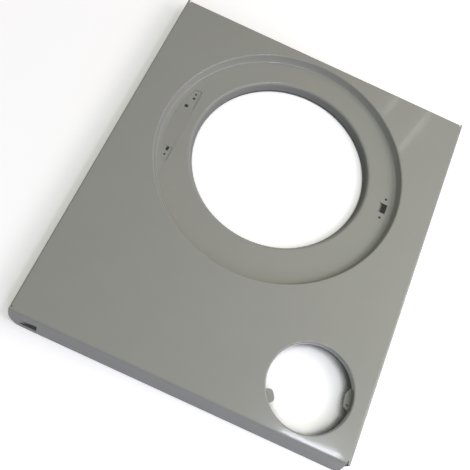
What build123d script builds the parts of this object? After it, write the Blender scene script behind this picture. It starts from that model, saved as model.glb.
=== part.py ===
"""Front panel of a front-loading washing machine, pressed and folded from one steel sheet.

The panel lies face up, as it comes to rest on the rear edges of its folds. While it is being made,
X runs across the panel from its centre line, Y runs up the panel from the bottom fold, and Z is the
height above the painted face. At the end it moves to its own frame: the origin is in the middle of
the rear plane, +Y points to the top edge and +Z out of the face.
"""

import os
from math import atan2, cos, degrees, radians, sin, tan

from build123d import *

# Sheet, in millimetres as all sizes here
SHEET = 0.8

# Face and folds
PANEL_WIDTH = 595.0
FACE_HEIGHT = 690.0
PANEL_DEPTH = 38.0
FOLD_ROUND = 4.0
FOLD_FLAT = 1.0
SIDE_LIP = 14.0
LIP_FOLD_ROUND = 2.0
LIP_END_GAP = 18.0
CORNER_SLIT = 1.4

# Bottom flange, which leans out under the face and has a window with a bent tongue near its left end
BOTTOM_LEAN = 12.0
BOTTOM_END_INSET = 0.8
BOTTOM_CORNER_ROUND = 24.0
WINDOW_FROM_SIDE = 19.0
WINDOW_WIDTH = 32.0
WINDOW_HEIGHT = 14.5
WINDOW_FROM_FOLD = 18.0
WINDOW_ROUND = 1.0
TONGUE_LENGTH = 28.0
TONGUE_ANGLE = 20.0
TONGUE_BEND = 3.0
TONGUE_GAP = 0.6

# Screw holes in the top flange
TOP_SCREW_SPACING = 460.0
TOP_SCREW_RADIUS = 2.5

# Door recess
RECESS_CENTRE_HEIGHT = 444.2
RECESS_RIM_RADIUS = 231.7
RECESS_WALL_RUN = 4.6
RECESS_DEPTH = 17.0
RECESS_RIM_ROUND = 3.0
RECESS_FOOT_BEVEL = 2.2

# Door opening, whose lip holds the rubber gasket
OPENING_RISE = 10.0
MOUTH_RADIUS = 170.0
MOUTH_ROUND = 6.5
LIP_RADIUS = 164.2
LIP_DEPTH = 16.0

# Slot and screw holes of the door lock
LOCK_FROM_CENTRE = 206.0
LOCK_RISE = 10.7
LOCK_SLOT_WIDTH = 17.6
LOCK_SLOT_HEIGHT = 19.6
LOCK_SLOT_ROUND = 0.8
LOCK_TONGUE_LENGTH = 10.0
LOCK_TONGUE_ANGLE = 55.0
LOCK_TONGUE_BEND = 6.0
LOCK_TONGUE_GAP = 0.6
LOCK_SCREW_FROM_CENTRE = 208.2
LOCK_SCREW_SPACING = 40.3
LOCK_SCREW_RADIUS = 2.4

# Sunk seat and holes of the door hinge
SEAT_ARC_RADIUS = 217.0
SEAT_WIDTH = 28.0
SEAT_LENGTH = 163.0
SEAT_DROP = 5.7
SEAT_CORNER_ROUND = 4.0
SEAT_DEPTH_AT_ARC = 1.5
SEAT_DEPTH_AT_CHORD = 0.2
PAD_DEPTH = 1.4
UPPER_PAD_LENGTH = 42.0
LOWER_PAD_LENGTH = 30.0
HINGE_INSIDE_ARC = 19.0
HINGE_SCREW_SPACING = 141.0
HINGE_DROP = 4.4
HINGE_SCREW_RADIUS = 2.0
HINGE_PEG_BELOW_SCREW = 9.6
HINGE_PEG_RADIUS = 2.6
HINGE_HOOK_BELOW_SCREW = 30.4
HINGE_HOOK_INSIDE_ARC = 12.5
HINGE_HOOK_SIDE = 6.5
HINGE_SLOT_ABOVE_SCREW = 12.8
HINGE_SLOT_LENGTH = 9.0
HINGE_SLOT_WIDTH = 5.2

# Opening for the drain filter, with two retaining tabs
FILTER_FROM_CENTRE = 194.9
FILTER_HEIGHT = 87.0
FILTER_RADIUS = 74.0
FILTER_EDGE_ROUND = 3.0
FILTER_COLLAR = 13.0
TAB_LEVEL = 16.6
TAB_BEND = 1.6
CATCH_TAB_REACH = 63.8
CATCH_TAB_BASE_ANGLES = (-7.0, 29.0)
CATCH_TAB_TIP_ANGLES = (-1.0, 17.0)
CATCH_TAB_ROUND = 3.0
CATCH_HOLE_FROM_CENTRE = 69.6
CATCH_HOLE_ANGLE = 2.2
CATCH_HOLE_RADIUS = 2.0
REST_TAB_REACH = 58.4
REST_TAB_ANGLE = 213.0
REST_TAB_WIDTH = 23.0
REST_TAB_ROUND = 8.0

# Flat kept beside a round, where one pressed form meets the next
LAND = 2.0

FOLD_MARGIN = FOLD_ROUND + FOLD_FLAT
BOTTOM_LEAN_ANGLE = degrees(atan2(BOTTOM_LEAN, PANEL_DEPTH))
RECESS_CENTRE = (0.0, RECESS_CENTRE_HEIGHT)
OPENING_CENTRE = (0.0, RECESS_CENTRE_HEIGHT + OPENING_RISE)
LOCK_HEIGHT = RECESS_CENTRE_HEIGHT + LOCK_RISE
SEAT_CHORD_FROM_CENTRE = SEAT_ARC_RADIUS - SEAT_WIDTH
HINGE_FROM_CENTRE = SEAT_ARC_RADIUS - HINGE_INSIDE_ARC
HINGE_HOOK_FROM_CENTRE = SEAT_ARC_RADIUS - HINGE_HOOK_INSIDE_ARC
HINGE_SCREW_HEIGHT = RECESS_CENTRE_HEIGHT - HINGE_DROP
FILTER_CENTRE = (FILTER_FROM_CENTRE, FILTER_HEIGHT)
FLOOR = -RECESS_DEPTH
REAR = -PANEL_DEPTH


def round_length(radius, turn):
    """Length that a round of this radius takes off each side of a corner that turns by these degrees."""
    return radius * tan(radians(turn) / 2)


RECESS_WALL_ANGLE = degrees(atan2(RECESS_DEPTH, RECESS_WALL_RUN))
RECESS_FOOT_RADIUS = RECESS_RIM_RADIUS - RECESS_WALL_RUN
RECESS_OUTER_EDGE = RECESS_RIM_RADIUS + round_length(RECESS_RIM_ROUND, RECESS_WALL_ANGLE) + LAND
RECESS_INNER_EDGE = RECESS_FOOT_RADIUS - RECESS_FOOT_BEVEL - LAND
MOUTH_ANGLE = degrees(atan2(LIP_DEPTH, MOUTH_RADIUS - LIP_RADIUS))
MOUTH_OUTER_EDGE = MOUTH_RADIUS + round_length(MOUTH_ROUND, MOUTH_ANGLE) + LAND
FILTER_OUTER_EDGE = FILTER_RADIUS + FILTER_EDGE_ROUND + LAND


def polar(radius, angle):
    """Point at a radius and an angle in degrees."""
    return (radius * cos(radians(angle)), radius * sin(radians(angle)))


def sheet_outline(points, rounds, side=Side.LEFT):
    """Edges of the bent sheet's section, from its front skin to one sheet's thickness behind it."""
    skin = FilletPolyline(*points, radius=rounds)
    return skin.offset_2d(SHEET, kind=Kind.INTERSECTION, side=side, closed=True).edges()


def sheet_section(points, rounds, side=Side.LEFT):
    """Section of the bent sheet as a face."""
    return make_face(sheet_outline(points, rounds, side))


def bevelled(arc):
    """Three straight edges in place of an arc, which touch it at its ends and its middle."""
    reach = round_length(arc.radius, degrees(arc.length / arc.radius) / 2)
    return Polyline(arc @ 0, arc @ 0 + arc % 0 * reach, arc @ 1 - arc % 1 * reach, arc @ 1).edges()


def ring_section(points, rounds):
    """Section of a round pressed form: the bend is a round on the front skin and a bevel on the rear."""
    edges = []
    for edge in sheet_outline(points, rounds):
        inside_bend = edge.geom_type == GeomType.CIRCLE and edge.radius < max(rounds)
        edges += bevelled(edge) if inside_bend else [edge]
    return make_face(edges)


def pressed_ring(centre, points, rounds):
    """Round pressed form: a bent section of radii and heights turned about a line along Z."""
    return Pos(*centre) * revolve(Plane.XZ * ring_section(points, rounds), axis=Axis.Z)


def punch(sketch, low, high):
    """Straight tool with the outline of a sketch, between two heights."""
    return Pos(0, 0, low) * extrude(sketch, amount=high - low, dir=(0, 0, 1))


def side_flange():
    """Left side: folded back at the face, then in again as a lip that stops short of both corners."""
    side = -PANEL_WIDTH / 2
    section = sheet_section(
        [(side + FOLD_MARGIN, 0), (side, 0), (side, REAR), (side + SIDE_LIP, REAR)],
        [FOLD_ROUND, LIP_FOLD_ROUND],
    )
    flange = extrude(Plane.XZ * section, amount=FACE_HEIGHT, dir=(0, 1, 0))
    lip_flat = SIDE_LIP - LIP_FOLD_ROUND
    lip_end = Pos(side + SIDE_LIP - lip_flat / 2, 0, REAR) * Box(lip_flat, 2 * LIP_END_GAP, 4 * SHEET)
    return flange - lip_end - Pos(0, FACE_HEIGHT) * lip_end


def top_flange():
    """Top edge folded straight back, with the screw holes that the control panel hides."""
    section = sheet_section(
        [(FACE_HEIGHT - FOLD_MARGIN, 0), (FACE_HEIGHT, 0), (FACE_HEIGHT, REAR)], [FOLD_ROUND], Side.RIGHT
    )
    length = PANEL_WIDTH - 2 * FOLD_MARGIN
    flange = Pos(-length / 2) * extrude(Plane.YZ * section, amount=length, dir=(1, 0, 0))
    for x in (-TOP_SCREW_SPACING / 2, TOP_SCREW_SPACING / 2):
        drill = Cylinder(TOP_SCREW_RADIUS, 4 * SHEET, rotation=(90, 0, 0))
        flange -= Pos(x, FACE_HEIGHT, REAR / 2) * drill
    return flange


def bottom_flange():
    """Bottom edge folded back at an open angle, closed at the left corner and rounded off below it."""
    past_rear = 1.2
    section = sheet_section(
        [(FOLD_MARGIN, 0), (0, 0), (-BOTTOM_LEAN * past_rear, REAR * past_rear)], [FOLD_ROUND]
    )
    left_end = -PANEL_WIDTH / 2 + BOTTOM_END_INSET
    length = PANEL_WIDTH / 2 - FOLD_MARGIN - left_end
    flange = Pos(left_end) * extrude(Plane.YZ * section, amount=length, dir=(1, 0, 0))
    trim_depth = PANEL_DEPTH * past_rear
    flange -= Pos(0, 0, REAR - trim_depth / 2) * Box(2 * PANEL_WIDTH, 2 * PANEL_DEPTH, trim_depth)

    corner_middle = Pos(left_end + BOTTOM_CORNER_ROUND, REAR + BOTTOM_CORNER_ROUND)
    outside_corner = corner_middle * Rectangle(
        2 * BOTTOM_CORNER_ROUND, 2 * BOTTOM_CORNER_ROUND, align=(Align.MAX, Align.MAX)
    )
    outside_corner -= corner_middle * Circle(BOTTOM_CORNER_ROUND)
    reach = 2 * PANEL_DEPTH
    flange -= Pos(0, -reach / 2) * extrude(Plane.XZ * outside_corner, amount=reach, dir=(0, 1, 0))
    return flange - bottom_window() + bottom_tongue()


def bottom_window():
    """Window through the bottom flange, made upright and then leaned with it."""
    middle = -PANEL_WIDTH / 2 + WINDOW_FROM_SIDE + WINDOW_WIDTH / 2
    outline = Pos(middle, -WINDOW_FROM_FOLD - WINDOW_HEIGHT / 2) * RectangleRounded(
        WINDOW_WIDTH, WINDOW_HEIGHT, WINDOW_ROUND
    )
    through = extrude(Plane.XZ * outline, amount=4 * SHEET, both=True)
    return Rot(-BOTTOM_LEAN_ANGLE, 0, 0) * through


def bottom_tongue():
    """Tongue left standing at the window's left side and bent inwards, for a clip of the plinth."""
    hinge_line = -PANEL_WIDTH / 2 + WINDOW_FROM_SIDE
    bend_x = hinge_line + round_length(TONGUE_BEND, TONGUE_ANGLE)
    tip_run, tip_rise = polar(TONGUE_LENGTH, TONGUE_ANGLE)
    section = sheet_section(
        [(hinge_line - LAND, 0), (bend_x, 0), (bend_x + tip_run, tip_rise)], [TONGUE_BEND]
    )
    width = WINDOW_HEIGHT - 2 * TONGUE_GAP
    low_side = -WINDOW_FROM_FOLD - WINDOW_HEIGHT + TONGUE_GAP
    return Rot(-BOTTOM_LEAN_ANGLE, 0, 0) * punch(section, low_side, low_side + width)


def corner_slits():
    """Slits at three corners of the face, which let the top and bottom folds turn beside the sides."""
    reach = 2 * PANEL_DEPTH
    slit_x = PANEL_WIDTH / 2 - FOLD_MARGIN - CORNER_SLIT / 2
    slit = extrude(SlotCenterToCenter(reach, CORNER_SLIT, rotation=90), amount=reach, both=True)
    slit_end = FOLD_MARGIN - reach / 2
    slits = [Pos(slit_x, slit_end) * slit]
    for x in (-slit_x, slit_x):
        slits.append(Pos(x, FACE_HEIGHT - slit_end) * slit)
    return slits


def left_side_flange():
    """Left side, which stops above the bottom flange where that closes the corner."""
    lower_end = FOLD_MARGIN + CORNER_SLIT
    corner = Pos(-PANEL_WIDTH / 2, 0) * Box(4 * FOLD_MARGIN, 2 * lower_end, 4 * PANEL_DEPTH)
    return side_flange() - corner


def face_plate():
    """Flat face between the folds, open where the door recess and the filter opening are pressed."""
    flat = Pos(0, FACE_HEIGHT / 2) * Rectangle(
        PANEL_WIDTH - 2 * FOLD_MARGIN, FACE_HEIGHT - 2 * FOLD_MARGIN
    )
    flat -= Pos(*RECESS_CENTRE) * Circle(RECESS_OUTER_EDGE)
    flat -= Pos(*FILTER_CENTRE) * Circle(FILTER_OUTER_EDGE)
    return punch(flat, -SHEET, 0)


def door_recess():
    """Rounded rim, steep wall and bevelled foot of the recess that the closed door sits in."""
    bevel_run, bevel_rise = polar(RECESS_FOOT_BEVEL, RECESS_WALL_ANGLE)
    return pressed_ring(
        RECESS_CENTRE,
        [
            (RECESS_OUTER_EDGE, 0),
            (RECESS_RIM_RADIUS, 0),
            (RECESS_FOOT_RADIUS + bevel_run, FLOOR + bevel_rise),
            (RECESS_FOOT_RADIUS - RECESS_FOOT_BEVEL, FLOOR),
            (RECESS_INNER_EDGE, FLOOR),
        ],
        [RECESS_RIM_ROUND, 0, 0],
    )


def recess_floor():
    """Flat floor of the recess, a little wider below the opening than above it."""
    ring = Pos(*RECESS_CENTRE) * Circle(RECESS_INNER_EDGE) - Pos(*OPENING_CENTRE) * Circle(MOUTH_OUTER_EDGE)
    return punch(ring, FLOOR - SHEET, FLOOR)


def door_lip():
    """Rounded mouth of the door opening and its steep lip, which reaches back for the gasket."""
    return pressed_ring(
        OPENING_CENTRE,
        [
            (MOUTH_OUTER_EDGE, FLOOR),
            (MOUTH_RADIUS, FLOOR),
            (LIP_RADIUS, FLOOR - LIP_DEPTH),
        ],
        [MOUTH_ROUND],
    )


def filter_collar():
    """Rounded edge and straight collar of the filter opening."""
    return pressed_ring(
        FILTER_CENTRE,
        [(FILTER_OUTER_EDGE, 0), (FILTER_RADIUS, 0), (FILTER_RADIUS, -FILTER_COLLAR)],
        [FILTER_EDGE_ROUND],
    )


def catch_tab_outline():
    """Wide tab on the right of the filter opening, narrower at its tip, with a hole for the cover's catch."""
    base_low, base_high = CATCH_TAB_BASE_ANGLES
    tip_low, tip_high = CATCH_TAB_TIP_ANGLES
    tip_corners = [polar(CATCH_TAB_REACH, tip_high), polar(CATCH_TAB_REACH, tip_low)]
    behind_collar = FILTER_OUTER_EDGE
    base = [polar(behind_collar, base_low), polar(behind_collar, base_high)]
    outline = make_face(FilletPolyline(*base, *tip_corners, radius=CATCH_TAB_ROUND, close=True).edges())
    return outline - Pos(*polar(CATCH_HOLE_FROM_CENTRE, CATCH_HOLE_ANGLE)) * Circle(CATCH_HOLE_RADIUS)


def rest_tab_outline():
    """Round-ended tab on the lower left of the filter opening, which the cover's edge rests on."""
    length = 2 * (FILTER_OUTER_EDGE - REST_TAB_REACH)
    outline = RectangleRounded(length, REST_TAB_WIDTH, REST_TAB_ROUND)
    return Rot(0, 0, REST_TAB_ANGLE) * Pos(FILTER_OUTER_EDGE) * outline


def filter_tabs():
    """Both tabs: the collar's rear edge runs on there, and turns in towards the middle."""
    shortest_reach = min(CATCH_TAB_REACH, REST_TAB_REACH) - LAND
    ring = pressed_ring(
        (0, 0),
        [(FILTER_RADIUS, -FILTER_COLLAR), (FILTER_RADIUS, -TAB_LEVEL), (shortest_reach, -TAB_LEVEL)],
        [TAB_BEND],
    )
    tabs = []
    for outline in (catch_tab_outline(), rest_tab_outline()):
        tabs.append(Pos(*FILTER_CENTRE) * (ring & punch(outline, REAR, 0)))
    return tabs


def lock_tongue():
    """Tongue cut free on three sides of the lock slot and bent back from its inner side."""
    hinge_line = LOCK_FROM_CENTRE - LOCK_SLOT_WIDTH / 2
    bend_x = hinge_line + round_length(LOCK_TONGUE_BEND, LOCK_TONGUE_ANGLE)
    tip_x = bend_x + LOCK_TONGUE_LENGTH * cos(radians(LOCK_TONGUE_ANGLE))
    tip_z = FLOOR - LOCK_TONGUE_LENGTH * sin(radians(LOCK_TONGUE_ANGLE))
    section = sheet_section(
        [(hinge_line - LAND, FLOOR), (bend_x, FLOOR), (tip_x, tip_z)], [LOCK_TONGUE_BEND], Side.RIGHT
    )
    width = LOCK_SLOT_HEIGHT - 2 * LOCK_TONGUE_GAP
    return Pos(0, LOCK_HEIGHT - width / 2) * extrude(Plane.XZ * section, amount=width, dir=(0, 1, 0))


def lock_holes():
    """Slot for the door's hook, between the two screws of the lock behind it."""
    holes = Pos(LOCK_FROM_CENTRE, LOCK_HEIGHT) * RectangleRounded(
        LOCK_SLOT_WIDTH, LOCK_SLOT_HEIGHT, LOCK_SLOT_ROUND
    )
    for side in (-1, 1):
        screw_height = LOCK_HEIGHT + side * LOCK_SCREW_SPACING / 2
        holes += Pos(LOCK_SCREW_FROM_CENTRE, screw_height) * Circle(LOCK_SCREW_RADIUS)
    return holes


def hinge_holes():
    """Screw holes at both ends of the hinge, with a peg hole, a hook hole and a slot beside them."""
    upper = HINGE_SCREW_HEIGHT + HINGE_SCREW_SPACING / 2
    lower = HINGE_SCREW_HEIGHT - HINGE_SCREW_SPACING / 2
    holes = Pos(-HINGE_FROM_CENTRE, upper) * Circle(HINGE_SCREW_RADIUS)
    holes += Pos(-HINGE_FROM_CENTRE, lower) * Circle(HINGE_SCREW_RADIUS)
    holes += Pos(-HINGE_FROM_CENTRE, upper - HINGE_PEG_BELOW_SCREW) * Circle(HINGE_PEG_RADIUS)
    hook_hole = Rectangle(HINGE_HOOK_SIDE, HINGE_HOOK_SIDE)
    holes += Pos(-HINGE_HOOK_FROM_CENTRE, upper - HINGE_HOOK_BELOW_SCREW) * hook_hole
    slot = SlotOverall(HINGE_SLOT_LENGTH, HINGE_SLOT_WIDTH, rotation=90)
    holes += Pos(-HINGE_FROM_CENTRE, lower + HINGE_SLOT_ABOVE_SCREW) * slot
    return holes


def seat_outline():
    """Seat of the hinge: a slice of the floor between an arc round the recess and an upright chord."""
    upright = Pos(-SEAT_CHORD_FROM_CENTRE, RECESS_CENTRE_HEIGHT - SEAT_DROP) * Rectangle(
        SEAT_WIDTH, SEAT_LENGTH, align=(Align.MAX, Align.CENTER)
    )
    seat = upright & (Pos(*RECESS_CENTRE) * Circle(SEAT_ARC_RADIUS))
    return fillet(seat.vertices(), SEAT_CORNER_ROUND)


def seat_plane(behind):
    """Slightly tilted floor of the hinge seat, a distance behind its front skin."""
    across = (SEAT_WIDTH, 0, SEAT_DEPTH_AT_ARC - SEAT_DEPTH_AT_CHORD)
    low_edge = (-SEAT_ARC_RADIUS, RECESS_CENTRE_HEIGHT, FLOOR - SEAT_DEPTH_AT_ARC)
    return Plane(origin=low_edge, x_dir=across, z_dir=(-across[2], 0, across[0])).offset(-behind)


def seat_pads():
    """Deeper pads at both ends of the seat, under the ends of the hinge."""
    middle = RECESS_CENTRE_HEIGHT - SEAT_DROP
    upper = Pos(-SEAT_CHORD_FROM_CENTRE, middle + SEAT_LENGTH / 2) * Rectangle(
        SEAT_WIDTH, UPPER_PAD_LENGTH, align=(Align.MAX, Align.MAX)
    )
    lower = Pos(-SEAT_CHORD_FROM_CENTRE, middle - SEAT_LENGTH / 2) * Rectangle(
        SEAT_WIDTH, LOWER_PAD_LENGTH, align=(Align.MAX, Align.MIN)
    )
    return [seat_outline() & upper, seat_outline() & lower]


def seat_pocket():
    """Sunk space of the hinge seat, above its floor and its pads."""
    space = punch(seat_outline(), REAR, FLOOR + SHEET)
    pocket = split(space, bisect_by=seat_plane(0), keep=Keep.TOP)
    for pad in seat_pads():
        pocket += punch(pad, FLOOR - PAD_DEPTH, FLOOR + SHEET)
    return pocket


def seat_backing():
    """Sheet round and under the sunk seat and its pads, as thick as the rest."""
    block = punch(offset(seat_outline(), SHEET), REAR, FLOOR - SHEET / 2)
    backing = split(block, bisect_by=seat_plane(SHEET), keep=Keep.TOP)
    for pad in seat_pads():
        backing += punch(offset(pad, SHEET), FLOOR - PAD_DEPTH - SHEET, FLOOR - SHEET / 2)
    return backing


def front_panel():
    """The whole panel as one sheet."""
    right_side = mirror(side_flange(), about=Plane.YZ)
    sheet = face_plate() + left_side_flange() + right_side
    sheet += [top_flange(), bottom_flange(), door_recess(), recess_floor(), door_lip(), filter_collar()]
    sheet += filter_tabs()
    sheet += seat_backing()
    sheet -= seat_pocket()
    sheet -= corner_slits()
    sheet -= punch(lock_holes() + hinge_holes(), REAR, FLOOR + SHEET)
    sheet += lock_tongue()
    own_frame = Pos(0, -(FACE_HEIGHT - BOTTOM_LEAN) / 2, PANEL_DEPTH)
    return own_frame * sheet


os.makedirs("parts", exist_ok=True)
panel = front_panel()
export_step(panel, "parts/front_panel.step")
print("front_panel", panel.bounding_box(), "volume", round(panel.volume), "solids", len(panel.solids()))
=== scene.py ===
# %% [markdown]
# # Washing machine front panel
#
# This lesson dresses one real spare part: the front panel of a washing machine, pressed and folded
# from a single steel sheet and then enamelled. The sheet's exact shape comes from a CAD model. Here
# it gets smooth shading, a baked enamel finish, a pale floor, studio lamps and a camera.

# %% Load the CAD model
from math import radians

import bpy
from mathutils import Matrix, Vector


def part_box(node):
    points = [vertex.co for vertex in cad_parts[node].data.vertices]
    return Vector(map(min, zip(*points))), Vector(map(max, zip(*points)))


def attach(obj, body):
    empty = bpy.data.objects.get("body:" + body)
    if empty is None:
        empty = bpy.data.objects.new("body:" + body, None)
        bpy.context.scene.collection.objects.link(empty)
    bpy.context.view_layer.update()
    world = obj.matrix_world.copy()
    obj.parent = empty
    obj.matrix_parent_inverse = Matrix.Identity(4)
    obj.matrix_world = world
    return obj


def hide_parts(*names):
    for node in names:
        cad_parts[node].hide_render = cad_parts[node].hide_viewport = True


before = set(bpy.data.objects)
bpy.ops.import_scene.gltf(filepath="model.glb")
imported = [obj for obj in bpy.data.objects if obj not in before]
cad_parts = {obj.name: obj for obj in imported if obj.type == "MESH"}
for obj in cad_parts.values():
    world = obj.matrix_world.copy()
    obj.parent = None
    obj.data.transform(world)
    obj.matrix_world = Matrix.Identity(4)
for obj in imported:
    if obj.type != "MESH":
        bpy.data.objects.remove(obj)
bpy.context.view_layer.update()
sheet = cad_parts["front_panel"]
print("CAD nodes:", sorted(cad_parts), "triangles:", len(sheet.data.polygons))

# %% [markdown]
# Blender measures in metres, while a panel like this one is drawn in millimetres. Sizes below are
# written in millimetres and turned into metres by one small function.

# %% Sizes in millimetres
def mm(*lengths):
    metres = tuple(length / 1000 for length in lengths)
    return metres[0] if len(metres) == 1 else metres


lowest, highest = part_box("front_panel")
print("panel size in mm:", [round(1000 * side, 1) for side in highest - lowest])

# %% [markdown]
# The CAD model is a mesh of loose flat triangles, which shows as facets on the rounded rim of the door
# recess. A pressed sheet has soft, even bends. So a copy of the mesh is merged at its seams and shaded
# smooth, except across the cut edges, which stay crisp. Weighted normals then keep the wide flat faces
# truly flat, so that only the narrow bends carry the change of light.

# %% Make a smooth copy of the sheet
SEAM_WIDTH = mm(0.002)
CRISP_ANGLE = radians(48)
AREA_WEIGHT = 100


def select_only(piece):
    bpy.ops.object.select_all(action="DESELECT")
    piece.select_set(True)
    bpy.context.view_layer.objects.active = piece


select_only(sheet)
bpy.ops.object.duplicate()
panel = bpy.context.view_layer.objects.active
panel.name = "enamelled_panel"
bpy.ops.mesh.customdata_custom_splitnormals_clear()
bpy.ops.object.mode_set(mode="EDIT")
bpy.ops.mesh.select_all(action="SELECT")
bpy.ops.mesh.remove_doubles(threshold=SEAM_WIDTH)
bpy.ops.object.mode_set(mode="OBJECT")
bpy.ops.object.shade_smooth_by_angle(angle=CRISP_ANGLE)
weighting = panel.modifiers.new("flat faces stay flat", "WEIGHTED_NORMAL")
weighting.mode = "FACE_AREA"
weighting.weight = AREA_WEIGHT
weighting.keep_sharp = True
bpy.ops.object.modifier_apply(modifier=weighting.name)
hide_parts("front_panel")
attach(panel, "root")
print("smooth copy:", len(panel.data.vertices), "vertices,", len(panel.data.polygons), "triangles")

# %% [markdown]
# Every material below is built from nodes. Colours are picked as sRGB hex values, as a paint chart
# gives them, while shaders count in linear light, so one function converts them. A second function
# adds a node, sets its options and either fills or links each input.

# %% Helpers for materials
def linear(hex_colour):
    channels = [int(hex_colour[place : place + 2], 16) / 255 for place in (1, 3, 5)]
    return tuple(c / 12.92 if c <= 0.04045 else ((c + 0.055) / 1.055) ** 2.4 for c in channels) + (1.0,)


def add_node(tree, kind, inputs=None, **options):
    node = tree.nodes.new(kind)
    for name, value in options.items():
        setattr(node, name, value)
    for name, value in (inputs or {}).items():
        if isinstance(value, bpy.types.NodeSocket):
            tree.links.new(value, node.inputs[name])
        else:
            node.inputs[name].default_value = value
    return node


def new_material(name):
    material = bpy.data.materials.new(name)
    material.use_nodes = True
    material.node_tree.nodes.clear()
    return material


print("light grey enamel in linear light:", [round(c, 3) for c in linear("#96978F")])

# %% [markdown]
# The finish is a baked appliance enamel: a light grey paint, sprayed on and cured in an oven. It flows
# out while it cures, which leaves a clear glossy skin with a very fine ripple called orange peel. The
# thin sheet is also never quite flat, so reflections bend a little over a hand's width. Both are far
# too shallow to model, so two noise patterns drive a bump. A third one makes colour and gloss faintly
# uneven. The scale of each pattern follows from its real size.

# %% Patterns in the enamel
PEEL_SIZE = mm(2.5)
PEEL_HEIGHT = mm(0.008)
WAVE_SIZE = mm(120)
WAVE_HEIGHT = mm(0.25)
SMUDGE_SIZE = mm(60)


def noise(tree, place, size, detail):
    inputs = {"Vector": place, "Scale": 1 / size, "Detail": detail}
    return add_node(tree, "ShaderNodeTexNoise", inputs).outputs["Fac"]


enamel = new_material("baked light grey enamel on steel sheet")
tree = enamel.node_tree
place = add_node(tree, "ShaderNodeTexCoord").outputs["Object"]
peel = noise(tree, place, PEEL_SIZE, 1.0)
waves = noise(tree, place, WAVE_SIZE, 0.0)
smudges = noise(tree, place, SMUDGE_SIZE, 3.0)
slow_bump = add_node(
    tree, "ShaderNodeBump", {"Height": waves, "Strength": 1.0, "Distance": WAVE_HEIGHT}
).outputs["Normal"]
fine_bump = add_node(
    tree,
    "ShaderNodeBump",
    {"Height": peel, "Strength": 1.0, "Distance": PEEL_HEIGHT, "Normal": slow_bump},
).outputs["Normal"]
print("pattern sizes in mm:", [round(1000 * size, 1) for size in (PEEL_SIZE, WAVE_SIZE, SMUDGE_SIZE)])

# %% [markdown]
# The spray comes from the front. The rear is taken to catch only overspray, so it stays dull. The lip
# inside the door opening gets painted shade: it is made darker and less shiny, to stand in for the
# shadow inside the opening. The rear is found by the way its surface faces, and the lip by its distance
# from the centre of the opening. The larger of the two says how dull or shaded a spot is.

# %% Where the paint stays dull, and the painted shade on the lip
REAR_STARTS = -0.35
REAR_FULL = -0.65
OPENING_CENTRE = mm(0, 115.2, 0)
LIP_SHADE_STARTS = mm(171)
LIP_SHADE_FULL = mm(167)

facing = add_node(tree, "ShaderNodeNewGeometry").outputs["True Normal"]
upward = add_node(tree, "ShaderNodeSeparateXYZ", {"Vector": facing}).outputs["Z"]
rear = add_node(
    tree,
    "ShaderNodeMapRange",
    {"Value": upward, "From Min": REAR_STARTS, "From Max": REAR_FULL, "To Min": 0.0, "To Max": 1.0},
).outputs["Result"]
flat_place = add_node(
    tree, "ShaderNodeVectorMath", {0: place, 1: (1, 1, 0)}, operation="MULTIPLY"
).outputs["Vector"]
from_centre = add_node(
    tree, "ShaderNodeVectorMath", {0: flat_place, 1: OPENING_CENTRE}, operation="DISTANCE"
).outputs["Value"]
# This mask puts painted shade on the lip inside the door opening.
lip = add_node(
    tree,
    "ShaderNodeMapRange",
    {"Value": from_centre, "From Min": LIP_SHADE_STARTS, "From Max": LIP_SHADE_FULL, "To Min": 0.0, "To Max": 1.0},
).outputs["Result"]
dull_and_painted_shade = add_node(tree, "ShaderNodeMath", {0: rear, 1: lip}, operation="MAXIMUM").outputs[0]
print("dull lip within", round(1000 * LIP_SHADE_FULL), "mm of the centre of the opening")

# %% [markdown]
# The pigment below the clear skin adds a soft haze around each reflection. One layer can be sharp or
# hazy but not both, so a sharp coat layer lies over a rougher base. Where the paint stays dull, and on
# the lip's painted shade, the coat goes and the base gets rougher, a little darker and less shiny.

# %% Baked enamel
ENAMEL_TINTS = ("#94958D", "#989991")
# A darker tint: plain paint on the dull rear, and painted shade on the lip inside the opening.
DULL_AND_SHADE_TINT = "#8A8B86"
SMUDGE_RANGE = (0.3, 0.7)
COAT_ROUGHNESS = (0.05, 0.08)
BASE_ROUGHNESS = {"A": 0.2, "B": 0.55}
COAT_WEIGHT = {"A": 0.5, "B": 0.0}
BASE_SHINE = {"A": 0.25, "B": 0.1}
ENAMEL_IOR = 1.45


def where_dull_or_shaded(tree, dull_and_painted_shade, values):
    inputs = {"Factor": dull_and_painted_shade, **values}
    return add_node(tree, "ShaderNodeMix", inputs, data_type="FLOAT").outputs[0]


tint = add_node(
    tree,
    "ShaderNodeMix",
    {"Factor": smudges, "A": linear(ENAMEL_TINTS[0]), "B": linear(ENAMEL_TINTS[1])},
    data_type="RGBA",
).outputs[2]
# The lip gets the darker tint as painted shade; the rear gets it as its dull paint.
colour = add_node(
    tree, "ShaderNodeMix", {"Factor": dull_and_painted_shade, "A": tint, "B": linear(DULL_AND_SHADE_TINT)}, data_type="RGBA"
).outputs[2]
gloss = add_node(
    tree,
    "ShaderNodeMapRange",
    {
        "Value": smudges,
        "From Min": SMUDGE_RANGE[0],
        "From Max": SMUDGE_RANGE[1],
        "To Min": COAT_ROUGHNESS[0],
        "To Max": COAT_ROUGHNESS[1],
    },
).outputs["Result"]
paint = add_node(
    tree,
    "ShaderNodeBsdfPrincipled",
    {
        "Base Color": colour,
        "Roughness": where_dull_or_shaded(tree, dull_and_painted_shade, BASE_ROUGHNESS),
        "IOR": ENAMEL_IOR,
        "Specular IOR Level": where_dull_or_shaded(tree, dull_and_painted_shade, BASE_SHINE),
        "Normal": fine_bump,
        "Coat Weight": where_dull_or_shaded(tree, dull_and_painted_shade, COAT_WEIGHT),
        "Coat Roughness": gloss,
        "Coat IOR": ENAMEL_IOR,
        "Coat Normal": fine_bump,
    },
)
add_node(tree, "ShaderNodeOutputMaterial", {"Surface": paint.outputs["BSDF"]})
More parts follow.
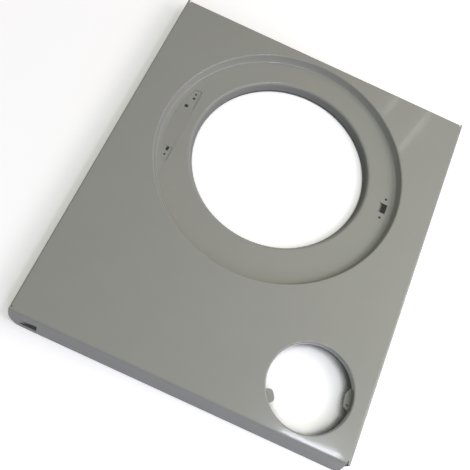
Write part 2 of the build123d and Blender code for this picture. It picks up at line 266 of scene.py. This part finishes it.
panel.data.materials.clear()
panel.data.materials.append(enamel)
print("material:", enamel.name, "with", len(tree.nodes), "nodes")

# %% [markdown]
# The panel lies face up on a studio floor, on the rear edges of its folds. One wide plane is enough. It
# lies a hair lower than the panel, so that the two never share a surface. The floor should look white
# while the light that it throws back stays low, so its material has to know which rays see it: those of
# the camera, of reflections and of clear materials.

# %% Floor
FLOOR_SIDE = 24
FLOOR_DROP = 0.3

bpy.ops.mesh.primitive_plane_add(size=FLOOR_SIDE, location=mm(0, 0, -FLOOR_DROP))
floor = bpy.context.view_layer.objects.active
floor.name = "studio_floor"
bpy.ops.object.transform_apply(location=True)


def seen_directly(tree):
    ray = add_node(tree, "ShaderNodeLightPath").outputs
    seen = add_node(
        tree, "ShaderNodeMath", {0: ray["Is Camera Ray"], 1: ray["Is Glossy Ray"]}, operation="MAXIMUM"
    ).outputs[0]
    return add_node(
        tree, "ShaderNodeMath", {0: seen, 1: ray["Is Transmission Ray"]}, operation="MAXIMUM"
    ).outputs[0]


print("floor at", round(1000 * floor.data.vertices[0].co.z, 2), "mm")

# %% [markdown]
# Seen directly, the floor is white and keeps the panel's soft shadow. For the light that bounces on to
# the panel it counts as dark grey. Ambient occlusion tells how closed in a spot of the floor is. The
# narrow gaps under the panel, seen through its slots and along the rim of the filter opening, get painted
# shade: a dark grey colour that stands in for the deep shadow there.

# %% Floor colour
GAP_REACH = mm(80)
CLOSED_BELOW = 0.46
OPEN_ABOVE = 0.56
# Painted shade: the colour of the floor in the closed gaps under the panel.
GAP_PAINTED_SHADE = "#3C3C44"
OPEN_COLOUR = "#FCFCFC"
BOUNCE_COLOUR = "#2A2C32"

pale = new_material("pale matt studio floor")
tree = pale.node_tree
seen = seen_directly(tree)
closed_in = add_node(tree, "ShaderNodeAmbientOcclusion", {"Distance": GAP_REACH}, samples=16).outputs["AO"]
open_air = add_node(
    tree,
    "ShaderNodeMapRange",
    {"Value": closed_in, "From Min": CLOSED_BELOW, "From Max": OPEN_ABOVE, "To Min": 0.0, "To Max": 1.0},
).outputs["Result"]
# Seen directly, the floor turns to painted shade where it is closed in.
seen_colour = add_node(
    tree,
    "ShaderNodeMix",
    {"Factor": open_air, "A": linear(GAP_PAINTED_SHADE), "B": linear(OPEN_COLOUR)},
    data_type="RGBA",
).outputs[2]
floor_colour = add_node(
    tree,
    "ShaderNodeMix",
    {"Factor": seen, "A": linear(BOUNCE_COLOUR), "B": seen_colour},
    data_type="RGBA",
).outputs[2]
print("floor is dark where occlusion is below", CLOSED_BELOW)

# %% [markdown]
# A little light of its own, again only where the floor is seen directly, lifts it to the white of a
# catalogue page without adding light to the panel. This grows with the distance from the panel, so the
# far floor melts into the white backdrop. The closed gaps get almost none of it.

# %% Floor light
NEAR = mm(400)
FAR = mm(2000)
NEAR_LIGHT = 0.3
FAR_LIGHT = 0.55
GAP_LIGHT = 0.04

place = add_node(tree, "ShaderNodeTexCoord").outputs["Object"]
distance = add_node(tree, "ShaderNodeVectorMath", {0: place}, operation="LENGTH").outputs["Value"]
own_light = add_node(
    tree,
    "ShaderNodeMapRange",
    {"Value": distance, "From Min": NEAR, "From Max": FAR, "To Min": NEAR_LIGHT, "To Max": FAR_LIGHT},
).outputs["Result"]
lift = add_node(tree, "ShaderNodeMath", {0: open_air, 1: own_light}, operation="MULTIPLY").outputs[0]
lift = add_node(tree, "ShaderNodeMath", {0: lift, 1: GAP_LIGHT}, operation="MAXIMUM").outputs[0]
lift = add_node(tree, "ShaderNodeMath", {0: lift, 1: seen}, operation="MULTIPLY").outputs[0]
matt = add_node(tree, "ShaderNodeBsdfDiffuse", {"Color": floor_colour})
glow = add_node(tree, "ShaderNodeEmission", {"Color": linear("#FFFFFF"), "Strength": lift})
both = add_node(tree, "ShaderNodeAddShader", {0: matt.outputs["BSDF"], 1: glow.outputs["Emission"]})
add_node(tree, "ShaderNodeOutputMaterial", {"Surface": both.outputs["Shader"]})
floor.data.materials.append(pale)
print("material:", pale.name, "with", len(tree.nodes), "nodes")

# %% [markdown]
# The room's even light comes from the world, as from three sides of a studio: a faintly violet wall on
# the right, a dim blue one in front of the panel and a warm ceiling. Nothing comes from the left, so
# the walls that face left stay dark. Each side is brightest straight ahead and fades to nothing at a
# right angle. Camera and reflections see plain white instead.

# %% Room light
SIDES = {
    "right": ((1, 0, 0), "#DDD0F7"),
    "front": ((0, -1, 0), "#444D7C"),
    "above": ((0, 0, 1), "#B4B499"),
}

world = bpy.data.worlds.new("studio room")
bpy.context.scene.world = world
world.use_nodes = True
tree = world.node_tree
tree.nodes.clear()
direction = add_node(tree, "ShaderNodeTexCoord").outputs["Generated"]
room_light = None
for axis, colour in SIDES.values():
    share = add_node(
        tree, "ShaderNodeVectorMath", {0: direction, 1: axis}, operation="DOT_PRODUCT"
    ).outputs["Value"]
    share = add_node(tree, "ShaderNodeMath", {0: share, 1: 0.0}, operation="MAXIMUM").outputs[0]
    side_light = add_node(
        tree, "ShaderNodeVectorMath", {0: linear(colour)[:3], "Scale": share}, operation="SCALE"
    ).outputs["Vector"]
    if room_light is None:
        room_light = side_light
    else:
        room_light = add_node(
            tree, "ShaderNodeVectorMath", {0: room_light, 1: side_light}, operation="ADD"
        ).outputs["Vector"]
room = add_node(tree, "ShaderNodeBackground", {"Color": room_light, "Strength": 1.0})
backdrop = add_node(tree, "ShaderNodeBackground", {"Color": linear("#FFFFFF"), "Strength": 1.0})
mixed = add_node(
    tree,
    "ShaderNodeMixShader",
    {0: seen_directly(tree), 1: room.outputs["Background"], 2: backdrop.outputs["Background"]},
)
add_node(tree, "ShaderNodeOutputWorld", {"Surface": mixed.outputs["Shader"]})
print("room light from", len(SIDES), "sides:", ", ".join(SIDES))

# %% [markdown]
# Lamps shape the panel. A wide window lamp shines down from the right, and a smaller side lamp nearer to
# the panel makes the light fall off towards the left. A small overhead lamp is placed where the flat
# face mirrors it to the camera, which gives the glare below the filter opening. A front lamp draws a
# thin line of light along the bottom fold, and two ceiling tubes leave faint streaks at the upper right.

# %% Lamps
def aim_lamp(name, place, target, size, power, colour="#FFFFFF"):
    data = bpy.data.lights.new(name, "AREA")
    data.shape = "RECTANGLE"
    data.size, data.size_y = size
    data.energy = power
    data.color = linear(colour)[:3]
    lamp = bpy.data.objects.new(name, data)
    bpy.context.scene.collection.objects.link(lamp)
    lamp.location = place
    lamp.rotation_euler = (Vector(target) - Vector(place)).to_track_quat("-Z", "Y").to_euler()
    print(name, "at", [round(1000 * side) for side in place], "mm,", power, "W")
    return lamp


aim_lamp("window_lamp", mm(1050, 275, 880), mm(0, 0, 20), mm(700, 500), 4.5, "#FFFCEA")
aim_lamp("side_lamp", mm(700, -100, 700), mm(0, 0, 20), mm(400, 400), 1.65)
aim_lamp("overhead_lamp", mm(570, -170, 1538), mm(570, -170, 38), mm(240, 170), 3.8, "#ECF2FF")
aim_lamp("front_lamp", mm(480, -1300, 1000), mm(130, -340, 38), mm(240, 700), 3.1, "#DCE4FF")
aim_lamp("ceiling_tube", mm(537, 1407, 1538), mm(210, 288, 38), mm(12, 230), 0.075)
aim_lamp("second_tube", mm(386, 1490, 1538), mm(149, 321, 38), mm(12, 110), 0.035)

# %% [markdown]
# The camera stands about a metre above the panel, leans 22.5 degrees from straight down and is turned
# a little about its own line of sight, so the panel lies slanted across the picture.

# %% Camera
CAMERA_PLACE = mm(-20.36, -510.24, 1113.69)
CAMERA_LEAN = 22.54
CAMERA_TURN = 24.72
LENS = 51.52
SENSOR_WIDTH = 36

camera_data = bpy.data.cameras.new("studio camera")
camera_data.sensor_width = SENSOR_WIDTH
camera_data.lens = LENS
camera = bpy.data.objects.new("studio camera", camera_data)
bpy.context.scene.collection.objects.link(camera)
lean = Matrix.Rotation(radians(CAMERA_LEAN), 4, "X")
turn = Matrix.Rotation(radians(CAMERA_TURN), 4, "Z")
camera.matrix_world = Matrix.Translation(CAMERA_PLACE) @ lean @ turn
bpy.context.scene.camera = camera
bpy.context.scene.view_settings.view_transform = "Standard"
print("camera looks along", [round(v, 3) for v in camera.matrix_world.to_3x3() @ Vector((0, 0, -1))])
